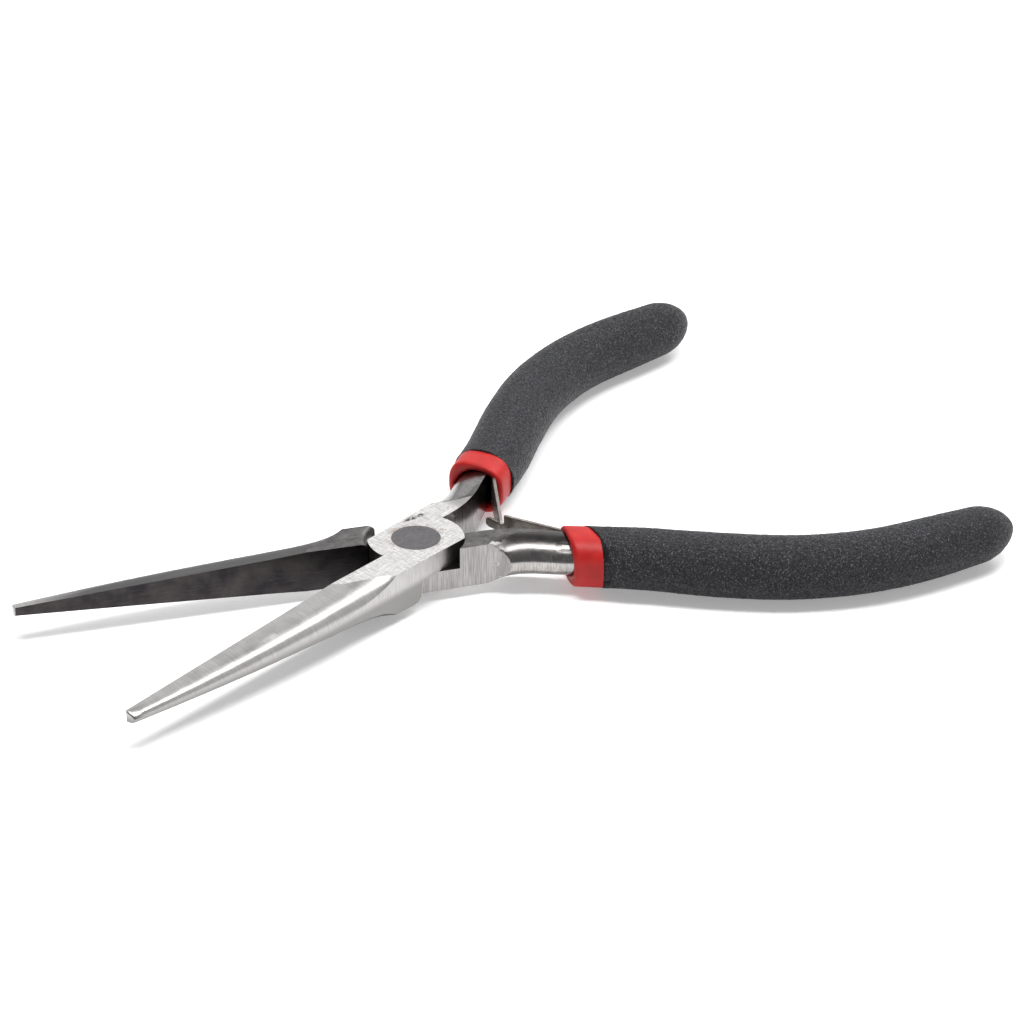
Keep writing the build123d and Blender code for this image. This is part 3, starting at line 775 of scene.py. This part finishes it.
def black_foam(side):
    """Closed-cell foam: matt charcoal, grainy, with pale specks."""
    f = Finish(f"black_foam_{side}", side)
    grain = f.noise(2.6, detail=4, rough=0.7)
    fine = f.noise(7.0, detail=2)
    specks = f.ramp(f.noise(4.4, detail=2, rough=0.4), [(0.59, 0.0), (0.67, 1.0)])
    base = f.mix(f.ramp(grain, [(0.42, 0.0), (0.62, 1.0)]), (0.003, 0.003, 0.0042), (0.019, 0.019, 0.023))
    base = f.mix(specks, base, (0.10, 0.10, 0.112))
    f.bump((grain, 1.0, 0.3), (fine, 0.5, 0.08))
    return f.set(Base_Color=base, Roughness=f.ramp(grain, [(0.4, 0.66), (0.62, 0.38)]),
                 Specular_IOR_Level=0.32)


def pale_floor():
    f = Finish("floor_paper", "upper")
    cloud = f.noise(0.02, detail=2)
    base = f.mix(f.ramp(cloud, [(0.3, 0.0), (0.7, 1.0)]), (0.78, 0.78, 0.78), (0.8, 0.8, 0.8))
    return f.set(Base_Color=base, Roughness=0.95, Emission_Color=(1.0, 1.0, 1.0), Emission_Strength=0.31)


def paint(piece, *materials):
    piece.data.materials.clear()
    for material in materials:
        piece.data.materials.append(material)


# ---- the object --------------------------------------------------------------------------
for half in SIDES:
    steel = steel_half(half)
    zones = np.array([p.material_index for p in steel.data.polygons], np.int32)
    paint(steel, ground_top(half), ground_side(half), jaw_round(half), jaw_face(half), tang_steel(half),
          forged_skin(half))
    steel.data.polygons.foreach_set("material_index", zones)
    rivet = rivet_steel(half)
    paint(leaf_spring(half), spring_steel(half))
    paint(vinyl_sleeve(half), red_vinyl(half))
    paint(foam_grip(half), black_foam(half))
    paint(frame["nodes"][f"{half}_spring_rivet"], rivet)
paint(frame["nodes"]["pivot_rivet"], rivet)

# ---- floor, light and camera -------------------------------------------------------------
AZIMUTH, ELEVATION, ROLL = 2.545696, 0.505344, 0.002308
DISTANCE, LENS = 0.735805, 165.25
LOOK_AT = PIVOT + Vector((-0.0202744, -0.0036228, 0.0))
back_way = Vector((math.sin(AZIMUTH), -math.cos(AZIMUTH), 0))
to_camera = back_way * math.cos(ELEVATION) + Vector((0, 0, math.sin(ELEVATION)))


def aim(thing, look, roll=0.0):
    """Turn a camera or lamp so that its -Z looks along a direction."""
    right = look.cross(Vector((0, 0, 1))).normalized() if abs(look.z) < 0.999 else Vector((-0.83, 0.56, 0))
    up = right.cross(look)
    right, up = (right * math.cos(roll) + up * math.sin(roll), up * math.cos(roll) - right * math.sin(roll))
    turn = Matrix((right, up, -look)).transposed()
    thing.matrix_world = Matrix.Translation(thing.location) @ turn.to_4x4()


def softbox(name, place, width, height, radiance):
    lamp = bpy.data.lights.new(name, "AREA")
    lamp.shape = "RECTANGLE"
    lamp.size, lamp.size_y = width, height
    lamp.energy = radiance * math.pi * width * height
    thing = bpy.data.objects.new(name, lamp)
    thing.location = place
    bpy.context.scene.collection.objects.link(thing)
    aim(thing, (LOOK_AT - place).normalized())
    return thing


floor = add_mesh("floor", [(-4, -4, 0), (4, -4, 0), (4, 4, 0), (-4, 4, 0)], [(0, 1, 2, 3)])
paint(floor, pale_floor())

image_right = Vector((-back_way.y, back_way.x, 0))
# distances towards the camera, to its right and up, then width, height and radiance
SOFTBOXES = {
    "overhead": (0.02, 0.0, 0.62, 0.62, 0.15, 17.0),
    "right_panel": (0.1, 0.95, 0.42, 1.1, 0.7, 0.65),
    "back_panel": (-0.95, 0.0, 0.5, 1.9, 0.85, 1.0),
    "jaw_light": (-0.31, 0.4, 0.55, 0.3, 0.3, 8.0),
}
for lamp_name, (towards, right, up, width, height, radiance) in SOFTBOXES.items():
    place = LOOK_AT + back_way * towards + image_right * right + Vector((0, 0, up))
    softbox(lamp_name, place, width, height, radiance)

world = bpy.data.worlds.new("room")
world.use_nodes = True
world.node_tree.nodes["Background"].inputs["Color"].default_value = (0.16, 0.16, 0.165, 1)
bpy.context.scene.world = world

camera_data = bpy.data.cameras.new("camera")
camera_data.sensor_width = 36
camera_data.lens = LENS
camera_data.clip_start, camera_data.clip_end = 0.01, 20
camera = bpy.data.objects.new("camera", camera_data)
camera.location = LOOK_AT + to_camera * DISTANCE
bpy.context.scene.collection.objects.link(camera)
aim(camera, -to_camera, ROLL)
bpy.context.scene.camera = camera
bpy.context.scene.view_settings.view_transform = "Standard"
